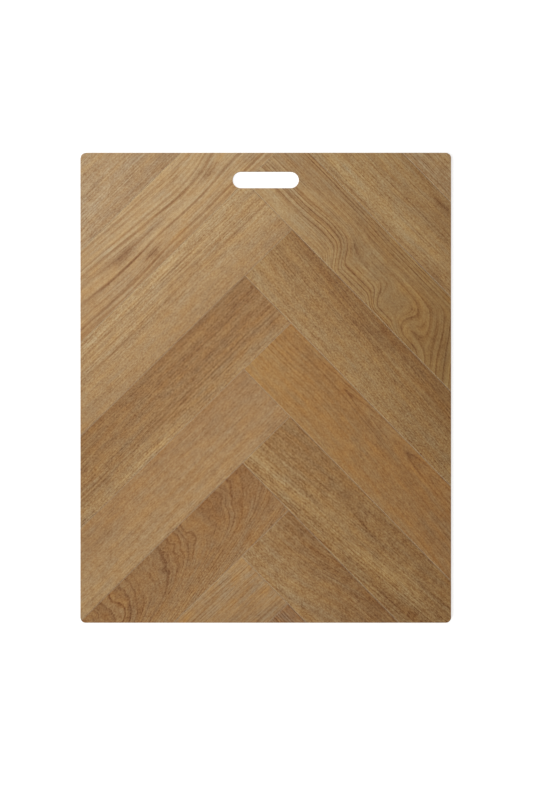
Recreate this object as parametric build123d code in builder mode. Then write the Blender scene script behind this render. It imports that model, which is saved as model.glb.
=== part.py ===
from build123d import *
import os
from math import ceil, cos, hypot, radians, sin

# Herringbone vinyl flooring sample board.
# Vinyl planks with bevelled edges are glued in a herringbone on a plain backing board.
# The laid board is then cut to a rounded rectangle, with a hand slot near its top edge.
# It lies on its back: X to the right, Y up the face, Z out of the face, all in millimetres.

# Board
board_width = 560.0
board_height = 710.0
corner_radius = 8.0
backing_thickness = 6.0
back_edge_ease = 0.8

# Hand slot, measured down from the top edge to the middle of the slot
slot_length = 100.0
slot_width = 25.0
slot_drop = 41.0

# Plank stock, with a shallow bevel all round the wear face
plank_length = 500.0
plank_width = 100.0
plank_thickness = 2.5
bevel_width = 1.1
bevel_depth = 0.5

# Where the pattern lies on the board: the zigzag corner nearest its middle, the rows of planks above it,
# and the pattern's small turn in degrees
corner_x = 36.5
corner_y = -43.2
rows_above = 5
pattern_turn = -0.65

# A cut piece with less face than this, in square millimetres, is left off
smallest_offcut = 30.0

# Derived directions of the two plank families
down_angle = -45.0 + pattern_turn
up_angle = 45.0 + pattern_turn
down_way = Vector(cos(radians(down_angle)), sin(radians(down_angle)))
up_way = Vector(cos(radians(up_angle)), sin(radians(up_angle)))
corner = Vector(corner_x, corner_y)


def draw_outline():
    """Draw the board's outline with its hand slot in the open sketch."""
    RectangleRounded(board_width, board_height, corner_radius)
    with Locations((0, board_height / 2 - slot_drop)):
        SlotOverall(slot_length, slot_width, mode=Mode.SUBTRACT)


def laid_plane(along, across, angle, height):
    """Plane at a place in the pattern, with its X along the plank."""
    place = corner + down_way * along + up_way * across
    length_way = (cos(radians(angle)), sin(radians(angle)), 0)
    return Plane(origin=(place.X, place.Y, height), x_dir=length_way, z_dir=(0, 0, 1))


def right_plank_plane(row, column, height=0.0):
    """Middle of a plank that runs down to the right from the zigzag."""
    along = row * plank_width + column * plank_length + plank_length / 2
    across = -row * plank_width + column * plank_length - plank_width / 2
    return laid_plane(along, across, down_angle, height)


def left_plank_plane(row, column, height=0.0):
    """Middle of a plank that runs down to the left from the zigzag."""
    along = row * plank_width + column * plank_length + plank_width / 2
    across = -row * plank_width + column * plank_length - plank_width - plank_length / 2
    return laid_plane(along, across, up_angle, height)


def face_on_board(plane):
    """Area of a plank's face that stays on the board after cutting."""
    with BuildSketch(plane) as whole_face:
        Rectangle(plank_length, plank_width)
    shared = board_face.sketch.intersect(whole_face.sketch)
    return sum(piece.area for piece in shared) if shared else 0.0


def cut_plank(plane):
    """Bevelled plank laid on a plane and cut to the board's outline."""
    with BuildPart() as plank:
        with BuildSketch(plane):
            Rectangle(plank_length, plank_width)
        extrude(amount=plank_thickness)
        wear_face = plank.faces().sort_by(Axis.Z)[-1]
        chamfer(wear_face.edges(), length=bevel_width, length2=bevel_depth, reference=wear_face)
        with BuildSketch(Plane.XY.offset(backing_thickness)):
            draw_outline()
        extrude(amount=plank_thickness, mode=Mode.INTERSECT)
    return plank


os.makedirs("parts", exist_ok=True)

with BuildSketch(Plane.XY) as board_face:
    draw_outline()

# Backing board: one flat panel, its lower edges eased so that they are kind to the hand
with BuildPart() as backing_board:
    with BuildSketch(Plane.XY):
        draw_outline()
    extrude(amount=backing_thickness)
    back_face = backing_board.faces().sort_by(Axis.Z)[0]
    chamfer(back_face.edges(), back_edge_ease)
backing_board.part.label = "backing_board"
export_step(backing_board.part, "parts/backing_board.step")

# Planks: each row steps straight down the board, and each column steps straight across it.
# They are numbered down the board by their row in the pattern.
reach = hypot(board_width, board_height) + plank_length
rows = range(-ceil(reach / plank_width), ceil(reach / plank_width) + 1)
columns = range(-ceil(reach / plank_length), ceil(reach / plank_length) + 1)
for side, plank_plane in (("right", right_plank_plane), ("left", left_plank_plane)):
    for row in rows:
        for column in columns:
            if face_on_board(plank_plane(row, column)) < smallest_offcut:
                continue
            plank = cut_plank(plank_plane(row, column, backing_thickness))
            in_column = f"_{column}" if column else ""
            plank.part.label = f"plank_{side}_{row + rows_above + 1}{in_column}"
            export_step(plank.part, f"parts/{plank.part.label}.step")
            print(plank.part.label, round(plank.part.volume), len(plank.part.solids()))
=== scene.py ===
# %% [markdown]
# # A herringbone flooring sample board
# Floor shops keep boards like this one: real vinyl planks glued in a herringbone on a thin
# panel, cut to a rounded rectangle, with a slot for the hand. The solids come from CAD, and
# they already have every true edge: the bevelled planks, the panel and the slot.
# What is left for Blender is how the vinyl looks, and that is nearly all of what one sees:
# a printed oak film under a clear, embossed wear layer, different on every plank.

# %% Load the fixed frame
import math

import bpy
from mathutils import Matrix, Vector


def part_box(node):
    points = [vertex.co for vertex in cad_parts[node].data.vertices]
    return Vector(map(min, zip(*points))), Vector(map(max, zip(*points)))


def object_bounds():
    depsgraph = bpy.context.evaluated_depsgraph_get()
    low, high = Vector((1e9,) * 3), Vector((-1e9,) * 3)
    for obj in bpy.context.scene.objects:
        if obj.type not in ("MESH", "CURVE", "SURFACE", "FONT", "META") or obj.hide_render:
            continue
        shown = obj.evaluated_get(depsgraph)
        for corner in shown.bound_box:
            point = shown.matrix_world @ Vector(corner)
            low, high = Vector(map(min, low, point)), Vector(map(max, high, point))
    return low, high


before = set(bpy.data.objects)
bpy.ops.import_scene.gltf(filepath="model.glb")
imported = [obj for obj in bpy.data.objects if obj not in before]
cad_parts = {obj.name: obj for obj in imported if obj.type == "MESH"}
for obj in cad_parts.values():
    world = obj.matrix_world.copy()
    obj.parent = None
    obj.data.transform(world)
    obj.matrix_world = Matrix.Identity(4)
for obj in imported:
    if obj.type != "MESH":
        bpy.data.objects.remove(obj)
cad_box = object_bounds()
print("solids:", len(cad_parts), "box:", [tuple(round(v, 4) for v in p) for p in cad_box])

# %% [markdown]
# ## The layout of the planks
# A herringbone is one plank repeated in two directions, each end butted against the side of
# the next. Every plank gets its own coordinates: `s` runs along it from the end at the zigzag,
# and `t` runs across it from its upper edge. A printed figure that is written in `s` and `t`
# then lies on the plank as it lies on the real film, whichever way the plank is turned.

# %% Where each plank lies
MM = 0.001
PLANK_WIDTH = 100 * MM
ZIGZAG_CORNER = Vector((36.5 * MM, -43.2 * MM))
ROWS_ABOVE = 5
PATTERN_TURN = math.radians(-0.65)
DOWN_ANGLE = PATTERN_TURN - math.pi / 4
UP_ANGLE = PATTERN_TURN + math.pi / 4
DOWN_WAY = Vector((math.cos(DOWN_ANGLE), math.sin(DOWN_ANGLE)))
UP_WAY = Vector((math.cos(UP_ANGLE), math.sin(UP_ANGLE)))
BACKING_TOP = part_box("backing_board")[1].z
FACE_TOP = cad_box[1][2]


def plank_place(name):
    """Corner at s = t = 0, the turn of the s axis, and 1 or -1 for the side that t is on."""
    side, number = name.split("_")[1:3]
    row = int(number) - ROWS_ABOVE - 1
    if side == "right":
        start = ZIGZAG_CORNER + DOWN_WAY * row * PLANK_WIDTH - UP_WAY * row * PLANK_WIDTH
        return start, DOWN_ANGLE, -1
    start = ZIGZAG_CORNER + DOWN_WAY * row * PLANK_WIDTH - UP_WAY * (row + 1) * PLANK_WIDTH
    return start, UP_ANGLE + math.pi, 1


plank_names = sorted(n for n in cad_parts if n.startswith("plank_"))
print("planks:", len(plank_names), "face at", round(FACE_TOP / MM, 2), "mm")

# %% [markdown]
# ## Small helpers for node work
# A material is a chain of small sums. Written one node at a time such a chain is hard to read,
# so these helpers add a node, join what is a socket, and set what is a number.

# %% Node helpers


def linear(colour):
    """A colour given as on screen, 0 to 255, as the linear values that nodes use."""
    parts = [c / 255 for c in colour]
    return tuple(c / 12.92 if c <= 0.04045 else ((c + 0.055) / 1.055) ** 2.4 for c in parts)


def is_socket(value):
    return isinstance(value, bpy.types.NodeSocket)


def feed(tree, socket, value):
    """Join a socket to a socket, or set it to a plain value."""
    if is_socket(value):
        tree.links.new(value, socket)
    else:
        socket.default_value = value


def calc(tree, operation, *values, clamp=False):
    node = tree.nodes.new("ShaderNodeMath")
    node.operation = operation
    node.use_clamp = clamp
    for socket, value in zip(node.inputs, values):
        feed(tree, socket, value)
    return node.outputs[0]


def total(tree, *values):
    result = values[0]
    for value in values[1:]:
        result = calc(tree, "ADD", result, value)
    return result


def times(tree, *values):
    result = values[0]
    for value in values[1:]:
        if is_socket(result) or is_socket(value):
            result = calc(tree, "MULTIPLY", result, value)
        else:
            result = result * value
    return result


def spread(tree, value, low, high, to_low=0.0, to_high=1.0):
    """Stretch a range of a value smoothly onto another range."""
    node = tree.nodes.new("ShaderNodeMapRange")
    node.interpolation_type = "SMOOTHSTEP"
    for socket, item in zip(node.inputs, (value, low, high, to_low, to_high)):
        feed(tree, socket, item)
    return node.outputs[0]


def tint(tree, red, green, blue):
    node = tree.nodes.new("ShaderNodeCombineColor")
    for socket, value in zip(node.inputs, (red, green, blue)):
        feed(tree, socket, value)
    return node.outputs[0]


def blend_colour(tree, factor, a, b):
    node = tree.nodes.new("ShaderNodeMix")
    node.data_type = "RGBA"
    feed(tree, node.inputs[0], factor)
    feed(tree, node.inputs[6], a)
    feed(tree, node.inputs[7], b)
    return node.outputs[2]


def noise(tree, x, y, z, detail=2.0, roughness=0.5):
    """Soft noise around zero at a place that is given in its own feature sizes."""
    place = tree.nodes.new("ShaderNodeCombineXYZ")
    for socket, value in zip(place.inputs, (x, y, z)):
        feed(tree, socket, value)
    node = tree.nodes.new("ShaderNodeTexNoise")
    tree.links.new(place.outputs[0], node.inputs["Vector"])
    node.inputs["Scale"].default_value = 1.0
    node.inputs["Detail"].default_value = detail
    node.inputs["Roughness"].default_value = roughness
    return calc(tree, "SUBTRACT", node.outputs[0], 0.5)


def marks(tree, along, across, per_metre, seed, detail=2.0, roughness=0.5):
    """Noise with so many features in a metre along the plank and in a metre across it."""
    x = times(tree, along, per_metre[0])
    y = times(tree, across, per_metre[1])
    return noise(tree, x, y, seed, detail, roughness)


def patch_at(tree, s, t, at_s, at_t, long, wide):
    """A soft oval patch on the plank, sizes in mm: 1 in its middle, 0 well outside it."""
    ds = calc(tree, "DIVIDE", calc(tree, "SUBTRACT", s, at_s * MM), long * MM)
    dt = calc(tree, "DIVIDE", calc(tree, "SUBTRACT", t, at_t * MM), wide * MM)
    reach = total(tree, times(tree, ds, ds), times(tree, dt, dt))
    return calc(tree, "EXPONENT", times(tree, reach, -1.0))


# %% [markdown]
# ## The oak figure
# The printed film is a photograph of oak, so the figure is built as oak grows. Growth rings
# give long lines that all follow one another, so one number, here called the grain, says which
# ring a spot belongs to: on a straight plank it is simply `t`. Where the lines part around a
# knot, the grain is pushed up or down by a smooth bump, and every ring, streak and pore that
# reads it bends along. Rings darken slowly and end sharply, and pores are short dark dashes.

# %% One group for all planks
# Marks in the wood, as the number in a metre along the plank and in a metre across it
SPACING_CHANGES = 45.0
RING_WANDER = (12.0, 60.0)
RING_FADE = (4.0, 55.0)
BROAD_STREAKS = (2.5, 70.0)
MIDDLE_STREAKS = (5.0, 260.0)
THIN_STREAKS = (20.0, 600.0)
PORES = (110.0, 1500.0)
RAYS = (310.0, 500.0)
MOTTLE = (75.0, 120.0)
STAINS = (12.0, 90.0)
STAIN_PATCHES = (50.0, 60.0)

# How far each kind of mark moves the tone at full strength
BROAD_SHARE = 0.5
MIDDLE_SHARE = 1.0
THIN_SHARE = 1.55
PORE_SHARE = -0.3
RAY_SHARE = 2.5
MOTTLE_SHARE = 0.8
RING_SHARE = -1.0

# How far a ring may shift from even spacing, in ring widths
UNEVEN_BY = 3.0
WANDER_BY = 0.9

# Shares of a ring's width: where it darkens, and where its dark end stops
DARKENS = (0.56, 0.92)
STOPS = (0.94, 1.0)

# A second draw of the noise, apart from the first
OTHER_SEED = 40.0


def make_oak_figure():
    """Node group: from a place on the plank to a tone around 1 and an embossing height."""
    group = bpy.data.node_groups.new("oak_figure", "ShaderNodeTree")
    face = group.interface
    for name in ("Along", "Grain", "Across", "Seed", "Rings", "Ring width", "Streaks", "Flecks"):
        face.new_socket(name, in_out="INPUT", socket_type="NodeSocketFloat")
    for name in ("Tone", "Warmth", "Height"):
        face.new_socket(name, in_out="OUTPUT", socket_type="NodeSocketFloat")
    place = group.nodes.new("NodeGroupInput").outputs
    along, grain, across, seed = (place[n] for n in ("Along", "Grain", "Across", "Seed"))

    # Growth rings: uneven spacing, a slow darkening and a sharp end, and some that fade out
    uneven = noise(group, times(group, grain, SPACING_CHANGES), 0.0, seed, detail=1.0)
    wander = marks(group, along, grain, RING_WANDER, seed, detail=3.0)
    ring = calc(group, "DIVIDE", grain, place["Ring width"])
    ring = total(group, ring, times(group, uneven, UNEVEN_BY), times(group, wander, WANDER_BY))
    ring = calc(group, "FRACT", ring)
    darkening = spread(group, ring, *DARKENS)
    sharp_end = spread(group, ring, *STOPS, 1.0, 0.0)
    fade = marks(group, along, grain, RING_FADE, seed)
    dark = times(group, darkening, sharp_end, spread(group, fade, -0.22, 0.1, 0.1, 1.0))

    # Streaks at three widths, all long and thin
    broad = marks(group, along, grain, BROAD_STREAKS, seed)
    middle = marks(group, along, grain, MIDDLE_STREAKS, seed)
    thin = marks(group, along, grain, THIN_STREAKS, seed, roughness=0.6)

    # Pores: short dark dashes that follow the grain
    dashes = spread(group, marks(group, along, grain, PORES, seed, detail=1.0), 0.08, 0.2)

    # Rays and mottle: faint flecks that don't follow the grain, one fine and one soft
    rays = marks(group, along, across, RAYS, seed, roughness=0.6)
    mottle = marks(group, along, across, MOTTLE, seed)

    tone = total(
        group,
        1.0,
        times(group, broad, place["Streaks"], BROAD_SHARE),
        times(group, middle, place["Streaks"], MIDDLE_SHARE),
        times(group, thin, place["Streaks"], THIN_SHARE),
        times(group, rays, place["Flecks"], RAY_SHARE),
        times(group, mottle, place["Flecks"], MOTTLE_SHARE),
        times(group, dark, place["Rings"], RING_SHARE),
        times(group, dashes, place["Streaks"], PORE_SHARE),
    )

    # Warmth: long stains and small patches where the wood is a little redder or greyer
    apart = total(group, seed, OTHER_SEED)
    stain = marks(group, along, grain, STAINS, apart, detail=3.0, roughness=0.65)
    patchy = marks(group, along, across, STAIN_PATCHES, apart, detail=3.0)
    warmth = total(group, stain, times(group, patchy, 0.6))

    # Embossing: pores and ring ends are pressed in, thin streaks stand up
    pressed = total(group, times(group, dashes, -1.0), times(group, dark, -0.4))
    height = total(group, pressed, times(group, thin, 0.8))
    out = group.nodes.new("NodeGroupOutput")
    for name, value in (("Tone", tone), ("Warmth", warmth), ("Height", height)):
        group.links.new(value, out.inputs[name])
    return group


oak_figure = make_oak_figure()
print("oak figure nodes:", len(oak_figure.nodes))

# %% [markdown]
# ## How the grain runs on one plank
# No two printed planks run alike. Most are nearly straight, some bow round a knot, one drops
# in steps, one shows nested arrowheads where the saw met the rings at a slant. All of these are
# one thing: a number that is added to the grain before the rings are drawn. Written this way,
# the lines can bend as sharply as on real oak and still never cross.

# %% The grain of a plank
# Waves in a metre along and across: slow ones on every plank, tight ones where the wood curls
DRIFT_WAVES = (7.0, 12.0)
CURL_WAVES = (32.0, 45.0)
# A curl fades out over so many millimetres on both sides of its limit
CURL_FADE = 15


def soft_distance(tree, value, blunt):
    """The size of a value, rounded off near zero."""
    square = total(tree, times(tree, value, value), (blunt * MM) ** 2)
    return calc(tree, "SQRT", square)


def plank_grain(tree, s, t, look):
    """The grain at a place on the plank, and the slow waves that moved it."""
    # Straight across the plank, or nested arrowheads, or one side of them
    grain = t
    if "peak" in look:
        middle, blunt = look["peak"]
        grain = soft_distance(tree, calc(tree, "SUBTRACT", t, middle * MM), blunt)
    if "brow" in look:
        middle, blunt, gain = look["brow"]
        grain = soft_distance(tree, calc(tree, "SUBTRACT", t, middle * MM), blunt)
        grain = times(tree, total(tree, grain, t, middle * MM), 0.5 * gain)
    grain = total(tree, grain, times(tree, s, look.get("slope", 0.0)), look.get("shift", 0.0) * MM)

    # Bows round a knot, and steps down
    for at_s, at_t, long, wide, push in look.get("bows", ()):
        bow = patch_at(tree, s, t, at_s, at_t, long, wide)
        grain = total(tree, grain, times(tree, bow, push * MM))
    for at_s, at_t, long, wide, push in look.get("falls", ()):
        step = spread(tree, s, (at_s - long) * MM, (at_s + long) * MM, 0.0, push * MM)
        dt = calc(tree, "DIVIDE", calc(tree, "SUBTRACT", t, at_t * MM), wide * MM)
        near = calc(tree, "EXPONENT", times(tree, dt, dt, -1.0))
        grain = total(tree, grain, times(tree, step, near))

    # A fan: beyond a slanted line the lines turn and follow that line
    if "fan" in look:
        level, slope, rise, blunt = look["fan"]
        limit = total(tree, times(tree, s, slope), times(tree, t, rise), level * MM)
        gap = soft_distance(tree, calc(tree, "SUBTRACT", grain, limit), blunt)
        grain = times(tree, calc(tree, "SUBTRACT", total(tree, grain, limit), gap), 0.5)

    drift = marks(tree, s, t, DRIFT_WAVES, look["seed"])
    grain = total(tree, grain, times(tree, drift, look.get("drift", 6.0) * MM))
    if "curl" in look:
        amount, limit = look["curl"]
        curl = marks(tree, s, t, CURL_WAVES, look["seed"])
        low, high = (limit - CURL_FADE) * MM, (limit + CURL_FADE) * MM
        grain = total(tree, grain, times(tree, curl, spread(tree, t, low, high, amount * MM, 0.0)))
    return grain, drift


print("grain ready")

# %% [markdown]
# ## Vinyl, from its face to its cut side
# A plank shows three things. The face has the print. The narrow bevel round it is the same
# print, rubbed with a greyed paint, and draws the thin grey lines between planks. The side that
# the saw cut shows the layers: a grey core, the thin printed film and the clear wear layer.
# Which is which follows from the way a face points and, on the side, from its height.
# The real wear layer is matte and hardly mirrors the room, so its specular level is low.

# %% The plank material
BEVEL_PAINT = (168, 152, 127)
BEVEL_PAINT_SHARE = 0.26
# The lower side of each layer, as a share of the plank's thickness, and the layer's colour
VINYL_LAYERS = (
    (0.0, (112, 108, 102)),
    (0.14, (158, 154, 146)),
    (0.70, (104, 78, 52)),
    (0.78, (150, 130, 104)),
)
# Where bands fade and come back, in a metre along and across
BAND_PATCHES = (14.0, 30.0)
BAND_SEED = 20.0

# Tilts are given for every 100 mm, and turn about this place on the plank
TILT_STEP = 100 * MM
TILT_ABOUT = (200 * MM, 50 * MM)

# Darker wood is redder and paler wood greyer: red follows the tone less, and blue more
RED_POWER = 0.66
BLUE_POWER = 1.35
RED_WARMTH = 0.45
LOWEST_TONE = 0.2

# A dark smudge is a little greyer than dark wood, and its rim is wavy
SMUDGE_WARMTH = 0.12
SMUDGE_WAVE = 10 * MM


def plank_coordinates(tree, name):
    """The sockets s, t and z of a plank."""
    start, turn, flip = plank_place(name)
    mapping = tree.nodes.new("ShaderNodeMapping")
    mapping.vector_type = "TEXTURE"
    mapping.inputs["Location"].default_value = (start.x, start.y, 0.0)
    mapping.inputs["Rotation"].default_value = (0.0, 0.0, turn)
    mapping.inputs["Scale"].default_value = (1.0, flip, 1.0)
    place = tree.nodes.new("ShaderNodeTexCoord").outputs["Object"]
    tree.links.new(place, mapping.inputs["Vector"])
    parts = tree.nodes.new("ShaderNodeSeparateXYZ")
    tree.links.new(mapping.outputs[0], parts.inputs[0])
    return tuple(parts.outputs)


def colour_ramp(tree, value, kind, stops):
    """A ramp with stops at their true places, each with a grey level or a colour."""
    ramp = tree.nodes.new("ShaderNodeValToRGB")
    ramp.color_ramp.interpolation = kind
    elements = ramp.color_ramp.elements
    for index, (at, colour) in enumerate(stops):
        stop = elements[index] if index < 2 else elements.new(at)
        stop.position = at
        stop.color = (*colour, 1.0)
    feed(tree, ramp.inputs[0], value)
    return ramp.outputs[0]


def tilted(tree, s, t, tilt):
    """A slope over the plank that is zero where it turns."""
    along, across = (rise / TILT_STEP for rise in tilt)
    start = -along * TILT_ABOUT[0] - across * TILT_ABOUT[1]
    return total(tree, times(tree, s, along), times(tree, t, across), start)


def plank_figure(tree, s, t, grain, look):
    """The oak figure on one plank, with its lines fading where the wood is calm."""
    lines = 1.0
    for at_s, at_t, long, wide, share in look.get("calm", ()):
        patch = patch_at(tree, s, t, at_s, at_t, long, wide)
        lines = times(tree, total(tree, 1.0, times(tree, patch, -share)), lines)
    figure = tree.nodes.new("ShaderNodeGroup")
    figure.node_tree = oak_figure
    for socket, value in (
        ("Along", s),
        ("Grain", grain),
        ("Across", t),
        ("Seed", look["seed"]),
        ("Rings", times(tree, lines, look["rings"])),
        ("Ring width", look["ring_width"] * MM),
        ("Streaks", times(tree, lines, look["streaks"])),
        ("Flecks", look["flecks"]),
    ):
        feed(tree, figure.inputs[socket], value)
    return figure.outputs


def add_bands(tree, tone, s, t, grain, look):
    """Broad bands of lighter and darker wood across the width, which follow the grain."""
    stops = [(at / 100, (level / 2,) * 3) for at, level in look["bands"]]
    over_width = calc(tree, "DIVIDE", grain, PLANK_WIDTH, clamp=True)
    half_level = colour_ramp(tree, over_width, "EASE", stops)
    band = total(tree, times(tree, half_level, 2.0), -1.0)
    patchy = marks(tree, s, t, BAND_PATCHES, look["seed"] + BAND_SEED)
    strength = spread(tree, patchy, -0.16, 0.12, look.get("steady", 0.3), 1.1)
    return times(tree, tone, total(tree, 1.0, times(tree, band, strength)))


def print_colour(tree, s, t, figure, grain, drift, look):
    """The colour of the printed film: a tone, and from it red, green and blue."""
    tone = figure["Tone"]
    if "bands" in look:
        tone = add_bands(tree, tone, s, t, grain, look)
    tilt = tilted(tree, s, t, look.get("tilt", (0.0, 0.0)))
    tone = times(tree, tone, total(tree, 1.0, tilt))
    warmth = times(tree, figure["Warmth"], look.get("warmth", 0.5))
    yellow = tilted(tree, s, t, look.get("warm_lean", (0.0, 0.0)))

    # Knots and stained patches, with an uneven rim
    wavy = total(tree, t, times(tree, drift, SMUDGE_WAVE))
    for at_s, at_t, long, wide, depth in look.get("smudges", ()):
        patch = times(tree, patch_at(tree, s, wavy, at_s, at_t, long, wide), depth)
        tone = total(tree, tone, patch)
        warmth = total(tree, warmth, times(tree, patch, SMUDGE_WARMTH))

    tone = calc(tree, "MAXIMUM", tone, LOWEST_TONE)
    warmer = total(tree, 1.0, times(tree, warmth, RED_WARMTH))
    yellower = total(tree, 1.0, times(tree, total(tree, warmth, yellow), -1.0))
    red = times(tree, calc(tree, "POWER", tone, RED_POWER), warmer)
    blue = times(tree, calc(tree, "POWER", tone, BLUE_POWER), yellower)
    base = linear(look["colour"])
    return tint(tree, *(times(tree, part, level) for part, level in zip((red, tone, blue), base)))


def plank_material(name, look):
    material = bpy.data.materials.new("oak_vinyl_" + name)
    material.use_nodes = True
    tree = material.node_tree
    shader = tree.nodes["Principled BSDF"]
    s, t, z = plank_coordinates(tree, name)
    grain, drift = plank_grain(tree, s, t, look)
    figure = plank_figure(tree, s, t, grain, look)
    film = print_colour(tree, s, t, figure, grain, drift, look)

    # Face, bevel or cut side, from the way the surface points
    up = tree.nodes.new("ShaderNodeSeparateXYZ")
    geometry = tree.nodes.new("ShaderNodeNewGeometry").outputs
    tree.links.new(geometry["True Normal"], up.inputs[0])
    on_face = spread(tree, up.outputs[2], 0.95, 0.99)
    on_side = spread(tree, up.outputs[2], 0.6, 0.5)
    bevel = blend_colour(tree, BEVEL_PAINT_SHARE, film, (*linear(BEVEL_PAINT), 1.0))

    # The cut side, layer by layer from the glue up
    depth = calc(tree, "DIVIDE", calc(tree, "SUBTRACT", z, BACKING_TOP), FACE_TOP - BACKING_TOP)
    depth = calc(tree, "MAXIMUM", depth, 0.0, clamp=True)
    stops = [(at, linear(colour)) for at, colour in VINYL_LAYERS]
    layers = colour_ramp(tree, depth, "CONSTANT", stops)
    edge = blend_colour(tree, on_side, bevel, layers)
    tree.links.new(blend_colour(tree, on_face, edge, film), shader.inputs["Base Color"])

    # Embossing: shallow, and only on the face
    bump = tree.nodes.new("ShaderNodeBump")
    bump.inputs["Strength"].default_value = 0.35
    bump.inputs["Distance"].default_value = 0.15 * MM
    feed(tree, bump.inputs["Height"], times(tree, figure["Height"], on_face))
    tree.links.new(bump.outputs[0], shader.inputs["Normal"])
    rough = total(tree, 0.5, times(tree, figure["Height"], -0.06))
    tree.links.new(rough, shader.inputs["Roughness"])
    shader.inputs["IOR"].default_value = 1.5
    shader.inputs["Specular IOR Level"].default_value = 0.2
    return material


print("layers in the cut side:", len(VINYL_LAYERS))

# %% [markdown]
# ## The fifteen planks of this board
# A vinyl line has a dozen or more printed planks, so hardly two on a board are alike. Each
# entry says what one plank shows. Lengths are in millimetres, places are (along, across).
# - `colour` is the print's middle colour on screen, `tilt` how it pales along and across.
# - `rings`, `streaks`, `flecks` and `warmth` are strengths, `ring_width` the ring spacing.
# - `slope`, `shift`, `drift`, `peak`, `brow`, `fan` and `curl` say how the grain runs.
# - `bows` and `falls` are places where it bends: place, length, width and push.
# - `bands` are levels across the width, and `steady` is how strong they stay where they fade.
# - `calm` and `smudges` are patches: place, length, width, and share or depth.

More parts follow.
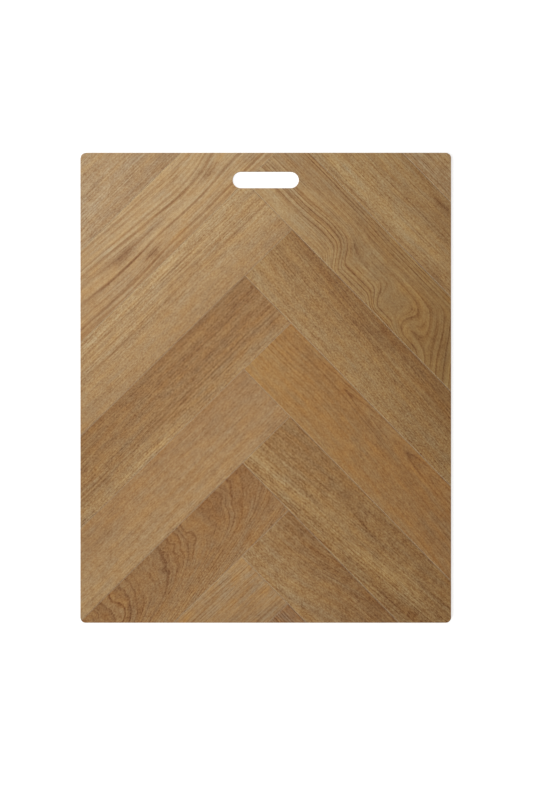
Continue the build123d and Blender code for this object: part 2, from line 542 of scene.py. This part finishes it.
# %% What each plank shows
PLANK_LOOKS = {
    "plank_left_1": dict(
        seed=1.3, colour=(156, 127, 91), rings=0.2, ring_width=4.5, streaks=0.56,
        tilt=(0.06, -0.13), flecks=0.5,
        bands=((0, 1.03), (26, 1.0), (30, 0.86), (34, 1.0), (84, 1.02), (93, 0.88), (97, 1.0)),
    ),
    "plank_left_2": dict(
        seed=2.7, colour=(168, 138, 97), rings=0.22, flecks=0.35, ring_width=5.0, streaks=0.36,
        tilt=(-0.06, -0.07), drift=3.0, steady=0.6,
        bows=(
            (175, 48, 60, 35, -6), (400, 25, 100, 40, 11), (95, 30, 35, 25, 8),
            (330, 88, 60, 14, -6), (330, 62, 70, 12, -5),
        ),
        bands=(
            (0, 1.03), (7, 1.05), (10, 0.66), (13, 1.05), (16, 1.0), (19, 0.76), (22, 1.05),
            (25, 0.9), (28, 1.05), (32, 0.7), (34.5, 1.05), (37, 1.06), (40, 0.54), (43, 1.06),
            (50, 0.9), (54, 1.02), (60, 1.05), (63.5, 0.58), (67, 1.05), (74, 0.92), (82, 1.02),
            (86, 0.62), (89.5, 1.02), (95, 0.7), (100, 1.0),
        ),
        smudges=(
            (310, 53, 24, 7, -0.46), (275, 78, 17, 6, -0.42), (262, 52, 34, 3, -0.25),
            (130, 52, 16, 7, -0.4), (70, 78, 16, 6, -0.28), (335, 66, 60, 2.5, -0.3),
            (110, 63, 18, 2.5, -0.25), (340, 88, 50, 2.5, -0.3), (285, 90, 30, 8, -0.08),
            (360, 92, 40, 9, 0.12), (315, 30, 25, 8, 0.08),
        ),
    ),
    "plank_left_3": dict(
        seed=3.1, colour=(159, 128, 87), rings=0.2, ring_width=4.5, streaks=0.65,
        tilt=(-0.02, -0.18), flecks=0.6, drift=4.0, steady=0.35, calm=((200, 90, 320, 34, 0.55),),
        bands=(
            (0, 1.08), (14, 1.07), (18, 0.72), (21, 1.04), (25, 0.92), (30, 1.06), (33, 0.72),
            (36, 1.06), (41, 1.02), (44, 0.74), (48, 1.0), (62, 0.99), (80, 0.95), (100, 0.94),
        ),
        smudges=((390, 94, 40, 10, 0.1), (15, 92, 25, 10, -0.1), (30, 52, 25, 10, 0.09)),
    ),
    "plank_left_4": dict(
        seed=4.9, colour=(145, 110, 68), rings=0.28, ring_width=4.5, streaks=0.54,
        tilt=(0.03, 0.31), flecks=0.76, drift=7.0, warm_lean=(0, -0.05), warmth=0.6,
        bands=(
            (0, 0.88), (6, 0.92), (14, 1.04), (24, 0.9), (34, 1.02), (44, 1.0), (48, 0.86),
            (51, 1.0), (57, 1.0), (60, 0.8), (63, 1.14), (66.5, 0.7), (69, 1.0), (71.5, 0.8),
            (76, 0.98), (86, 1.08), (100, 1.12),
        ),
        smudges=(
            (30, 22, 30, 7, -0.12), (115, 5, 30, 4, -0.16), (250, 12, 40, 6, -0.06),
            (15, 60, 14, 2, -0.3), (275, 92, 50, 12, 0.24), (45, 8, 60, 8, 0.09),
            (390, 92, 30, 10, 0.08), (165, 70, 40, 9, -0.08), (150, 50, 35, 9, -0.08),
            (135, 10, 25, 9, 0.07),
        ),
    ),
    "plank_left_5": dict(
        seed=5.3, colour=(158, 123, 81), rings=0.1, ring_width=4.0, streaks=0.42,
        tilt=(0.04, 0.17), flecks=0.48,
        bands=((0, 0.97), (40, 1.0), (78, 1.04), (92, 1.06), (100, 1.0)),
        smudges=(
            (320, 36, 60, 16, -0.07), (200, 60, 60, 10, -0.04), (30, 93, 30, 9, -0.13),
            (405, 92, 25, 10, -0.1), (400, 68, 25, 12, 0.08), (25, 92, 40, 9, -0.1),
            (195, 90, 50, 10, 0.07),
        ),
    ),
    "plank_left_6": dict(
        seed=6.1, colour=(149, 112, 70), rings=0.36, ring_width=5.0, streaks=0.5, curl=(11, 45),
        tilt=(0.05, 0.34), warm_lean=(0, -0.03), flecks=0.72, drift=14.0, warmth=0.7,
        brow=(62, 22, 1.8), slope=-0.32, shift=20,
        smudges=(
            (135, 10, 25, 10, 0.13), (265, 10, 40, 10, 0.14), (165, 10, 25, 10, -0.06),
            (270, 52, 35, 14, -0.12), (225, 50, 25, 10, -0.1), (105, 50, 25, 10, 0.1),
            (195, 10, 22, 10, 0.08),
        ),
    ),
    "plank_left_7": dict(
        seed=7.7, colour=(150, 113, 72), rings=0.25, ring_width=4.5, streaks=0.65, flecks=0.38,
        warmth=0.9, slope=0.03, tilt=(-0.18, -0.28),
    ),
    "plank_right_1": dict(
        seed=8.3, colour=(176, 150, 111), rings=0.3, flecks=0.5, ring_width=5.0, streaks=0.7,
        tilt=(-0.1, -0.2), bands=((0, 1.0), (74, 1.04), (78, 0.8), (82, 1.0), (100, 0.88)),
    ),
    "plank_right_2": dict(
        seed=9.1, colour=(158, 127, 84), rings=0.25, ring_width=4.5, streaks=0.5,
        tilt=(-0.09, 0.04), flecks=0.6, drift=6.0,
        bands=(
            (0, 0.84), (12, 0.92), (22, 0.98), (32, 0.97), (37, 0.84), (42, 0.98), (60, 1.02),
            (72, 1.1), (88, 1.1), (97, 0.94), (100, 0.86),
        ),
        smudges=(
            (338, 14, 22, 5, -0.3), (375, 68, 25, 14, 0.14), (405, 92, 25, 10, -0.12),
            (345, 30, 30, 9, -0.1), (375, 50, 25, 10, -0.12), (315, 72, 25, 12, 0.1),
            (255, 10, 30, 10, 0.08), (285, 40, 30, 14, -0.08), (225, 90, 40, 9, -0.08),
        ),
    ),
    "plank_right_3": dict(
        seed=10.7, colour=(149, 117, 74), rings=0.55, flecks=0.4, ring_width=4.8, streaks=0.6,
        warm_lean=(0.05, 0), tilt=(-0.08, 0.12), drift=3.5,
        falls=((177, 95, 20, 42, -32), (262, 92, 16, 30, -14), (318, 88, 18, 34, -12)),
        bows=((135, 55, 35, 30, 4),), fan=(152, -0.4, 0.3, 6), calm=((70, 90, 80, 14, 0.9),),
        bands=(
            (0, 1.0), (20, 0.96), (38, 1.0), (49, 1.0), (51.5, 0.8), (54, 1.0), (60, 1.02),
            (63, 0.84), (66, 1.04), (72, 1.02), (75, 0.78), (78, 1.14), (84, 1.2), (93, 1.14),
            (100, 1.04),
        ),
        smudges=(
            (186, 54, 14, 13, -0.2), (205, 88, 30, 12, 0.1), (395, 60, 50, 30, -0.1),
            (100, 86, 70, 10, 0.04), (255, 10, 40, 9, 0.08), (345, 70, 25, 14, -0.1),
        ),
    ),
    "plank_right_4": dict(
        seed=11.9, colour=(144, 110, 67), rings=0.25, ring_width=4.5, streaks=0.62,
        tilt=(0, 0.27), warm_lean=(0, -0.06), warmth=0.5, flecks=0.8, slope=-0.08, shift=8,
        drift=3.0, calm=((200, 78, 260, 30, 0.45),),
        bands=(
            (0, 0.7), (6, 0.8), (9, 0.7), (13, 0.84), (16, 0.76), (20, 0.94), (23, 0.84),
            (28, 1.0), (60, 1.04), (100, 1.04),
        ),
        smudges=(
            (30, 15, 50, 9, 0.14), (285, 32, 50, 2.5, 0.24), (300, 40, 60, 2, 0.14),
            (180, 94, 120, 3, 0.1), (345, 12, 30, 12, 0.15), (15, 70, 25, 18, 0.1),
            (255, 72, 50, 14, 0.08), (195, 52, 40, 12, 0.09), (345, 88, 30, 12, -0.1),
            (60, 8, 40, 8, -0.1), (405, 90, 30, 12, -0.16), (165, 30, 40, 9, -0.1),
        ),
    ),
    "plank_right_5": dict(
        seed=12.3, colour=(149, 110, 64), rings=0.3, ring_width=5.5, streaks=0.45, tilt=(0, 0.07),
        warm_lean=(-0.03, 0), flecks=0.52, drift=2.0, warmth=0.65,
        calm=((200, 85, 400, 40, 0.5),), peak=(12, 6), slope=-0.09, shift=26,
        bows=((-10, 45, 90, 50, -16),),
        bands=((0, 0.96), (24, 0.92), (30, 0.98), (60, 1.04), (100, 1.06)),
        smudges=(
            (15, 70, 60, 30, 0.12), (60, 10, 30, 9, 0.1), (315, 8, 25, 8, 0.09),
            (255, 8, 25, 8, 0.08), (390, 72, 30, 12, -0.1), (285, 12, 40, 8, -0.14),
            (315, 90, 50, 10, 0.1), (165, 10, 18, 8, 0.09), (195, 10, 22, 9, 0.12),
            (225, 10, 22, 8, 0.09), (375, 90, 25, 10, 0.08),
        ),
    ),
    "plank_right_6": dict(
        seed=13.7, colour=(150, 115, 71), rings=0.3, ring_width=4.5, streaks=0.66, tilt=(0, 0.28),
        flecks=0.78, slope=0.09, shift=-6, drift=3.0, calm=((150, 14, 150, 22, 0.4),),
        bands=(
            (0, 0.9), (30, 0.94), (46, 1.0), (50, 0.86), (54, 1.14), (58, 0.92), (62, 1.1),
            (66, 0.94), (72, 1.04), (78, 1.14), (84, 1.1), (87, 0.86), (90, 1.08), (100, 0.86),
        ),
        smudges=(
            (40, 86, 60, 6, 0.12), (190, 34, 28, 1.8, -0.34), (112, 97, 20, 2.5, -0.25),
            (310, 94, 40, 12, -0.14), (368, 50, 25, 22, -0.18), (235, 90, 40, 12, 0.08),
            (285, 50, 45, 12, 0.22), (240, 70, 50, 12, 0.12), (165, 52, 60, 12, 0.14),
        ),
    ),
    "plank_right_7": dict(
        seed=14.3, colour=(143, 107, 66), rings=0.25, ring_width=4.5, streaks=0.66,
        tilt=(-0.08, 0.33), warm_lean=(0, -0.03), flecks=0.78, slope=0.06,
        calm=((80, 62, 110, 28, 0.6),), drift=3.0, warmth=0.5, falls=((120, 30, 70, 70, 22),),
        bands=(
            (0, 0.9), (8, 0.84), (12, 0.98), (16, 0.82), (22, 1.0), (40, 1.0), (60, 1.05),
            (100, 1.05),
        ),
        smudges=(
            (75, 68, 40, 14, 0.18), (135, 50, 30, 12, 0.1), (195, 10, 25, 10, -0.09),
            (55, 16, 30, 8, -0.08),
        ),
    ),
    "plank_right_8": dict(
        seed=15.9, colour=(145, 109, 73), rings=0.6, ring_width=5.0, streaks=0.8, flecks=0.6,
        warmth=1.0,
    ),
}
for name in plank_names:
    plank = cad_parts[name]
    plank.data.materials.clear()
    plank.data.materials.append(plank_material(name, PLANK_LOOKS[name]))
print("planks dressed:", len(plank_names))

# %% [markdown]
# ## The backing panel
# A thin fibreboard panel carries the planks. Its faces are pressed smooth and show short brown
# and pale fibres. Its cut edges are softer and a little darker in the middle. Noise in three
# directions runs through the panel, so the faces, the edges and the slot agree at their
# corners, as on a solid thing.

# %% Fibreboard
PANEL_COLOUR = (176, 146, 112)
# Features in a metre along X, Y and Z
CLOUDS = (25.0, 25.0, 25.0)
FIBRES = (900.0, 350.0, 900.0)
SPECKS = (420.0, 700.0, 600.0)


def through_panel(tree, place, per_metre, detail, roughness=0.5):
    scaled = [times(tree, value, often) for value, often in zip(place, per_metre)]
    return noise(tree, *scaled, detail=detail, roughness=roughness)


def fibreboard_material():
    material = bpy.data.materials.new("fibreboard")
    material.use_nodes = True
    tree = material.node_tree
    shader = tree.nodes["Principled BSDF"]
    parts = tree.nodes.new("ShaderNodeSeparateXYZ")
    tree.links.new(tree.nodes.new("ShaderNodeTexCoord").outputs["Object"], parts.inputs[0])
    place = tuple(parts.outputs)
    cloud = through_panel(tree, place, CLOUDS, detail=3.0)
    fibre = through_panel(tree, place, FIBRES, detail=3.0, roughness=0.7)
    speck = spread(tree, through_panel(tree, place, SPECKS, detail=1.0), 0.14, 0.24)
    tone = total(
        tree,
        1.0,
        times(tree, cloud, 0.18),
        times(tree, fibre, 0.5),
        times(tree, speck, -0.22),
    )

    # The middle of the thickness is pressed less and looks darker
    height = calc(tree, "DIVIDE", place[2], BACKING_TOP)
    from_middle = calc(tree, "ABSOLUTE", calc(tree, "SUBTRACT", height, 0.5))
    tone = times(tree, tone, spread(tree, from_middle, 0.1, 0.5, 0.88, 1.0))
    red = calc(tree, "POWER", tone, 0.9)
    blue = calc(tree, "POWER", tone, 1.15)
    base = linear(PANEL_COLOUR)
    colour = tint(tree, *(times(tree, p, level) for p, level in zip((red, tone, blue), base)))
    tree.links.new(colour, shader.inputs["Base Color"])
    bump = tree.nodes.new("ShaderNodeBump")
    bump.inputs["Strength"].default_value = 0.4
    bump.inputs["Distance"].default_value = 0.1 * MM
    feed(tree, bump.inputs["Height"], fibre)
    tree.links.new(bump.outputs[0], shader.inputs["Normal"])
    shader.inputs["Roughness"].default_value = 0.8
    return material


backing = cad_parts["backing_board"]
backing.data.materials.clear()
backing.data.materials.append(fibreboard_material())
print("backing dressed")

# %% [markdown]
# ## Camera, floor and light
# The board is photographed straight on with a long lens, so it lies under a camera that looks
# straight down. Soft light comes from the left, which leaves the right side a little darker.
# The floor and the room are white to the camera, to reflections and through clear things, but
# light the board only as a plain grey would, so that its colours stay as they are written.

# %% Camera
FRAME_PIXELS = 800
MM_PER_PIXEL = 560 / 370.7
LENS = 120.0
SENSOR = 36.0
# The board lies a little left of and above the middle of the picture
AIM_X = 1.9 * MM
AIM_Y = -18.5 * MM
view_height = FRAME_PIXELS * MM_PER_PIXEL * MM
camera_data = bpy.data.cameras.new("camera")
camera_data.lens = LENS
camera_data.sensor_width = SENSOR
camera_data.clip_end = 50.0
camera = bpy.data.objects.new("camera", camera_data)
bpy.context.scene.collection.objects.link(camera)
camera.location = (AIM_X, AIM_Y, FACE_TOP + view_height * LENS / SENSOR)
bpy.context.scene.camera = camera
print("camera height", round(camera.location.z, 3), "m")

# %% Floor
FLOOR_GREY = 0.6
FLOOR_GLOW = 0.7
FLOOR_DROP = 0.2 * MM


def background_rays(tree):
    """1 for rays from the camera, from glossy and through clear surfaces, and 0 for others."""
    path = tree.nodes.new("ShaderNodeLightPath").outputs
    shown = calc(tree, "MAXIMUM", path["Is Camera Ray"], path["Is Transmission Ray"])
    return calc(tree, "MAXIMUM", shown, path["Is Glossy Ray"])


bpy.ops.object.select_all(action="DESELECT")
bpy.ops.mesh.primitive_plane_add(size=12.0, location=(0, 0, -FLOOR_DROP))
floor = bpy.context.object
floor.name = "floor"
floor_material = bpy.data.materials.new("white_floor")
floor_material.use_nodes = True
tree = floor_material.node_tree
floor_shader = tree.nodes["Principled BSDF"]
floor_shader.inputs["Base Color"].default_value = (FLOOR_GREY, FLOOR_GREY, FLOOR_GREY, 1.0)
floor_shader.inputs["Roughness"].default_value = 0.9
floor_shader.inputs["Emission Color"].default_value = (1.0, 1.0, 1.0, 1.0)
glow = times(tree, background_rays(tree), FLOOR_GLOW)
tree.links.new(glow, floor_shader.inputs["Emission Strength"])
floor.data.materials.append(floor_material)
print("floor ready")

# %% Light
WORLD_LEVEL = 0.25
world = bpy.data.worlds.new("studio")
bpy.context.scene.world = world
world.use_nodes = True
tree = world.node_tree
background = tree.nodes["Background"]
background.inputs["Color"].default_value = (1.0, 1.0, 1.0, 1.0)
extra = times(tree, background_rays(tree), 1.0 - WORLD_LEVEL)
tree.links.new(total(tree, WORLD_LEVEL, extra), background.inputs["Strength"])


def soft_light(name, place, size, energy):
    """A square lamp that points at the middle of the board."""
    data = bpy.data.lights.new(name, "AREA")
    data.shape = "SQUARE"
    data.size = size
    data.energy = energy
    light = bpy.data.objects.new(name, data)
    bpy.context.scene.collection.objects.link(light)
    light.location = place
    light.rotation_euler = (-light.location).to_track_quat("-Z", "Y").to_euler()


soft_light("window", place=(-1.1, -1.8, 2.2), size=1.4, energy=37.0)
soft_light("near_panel", place=(-0.22, 0.27, 0.7), size=0.7, energy=4.4)
bpy.context.scene.view_settings.view_transform = "Standard"
print("light ready")
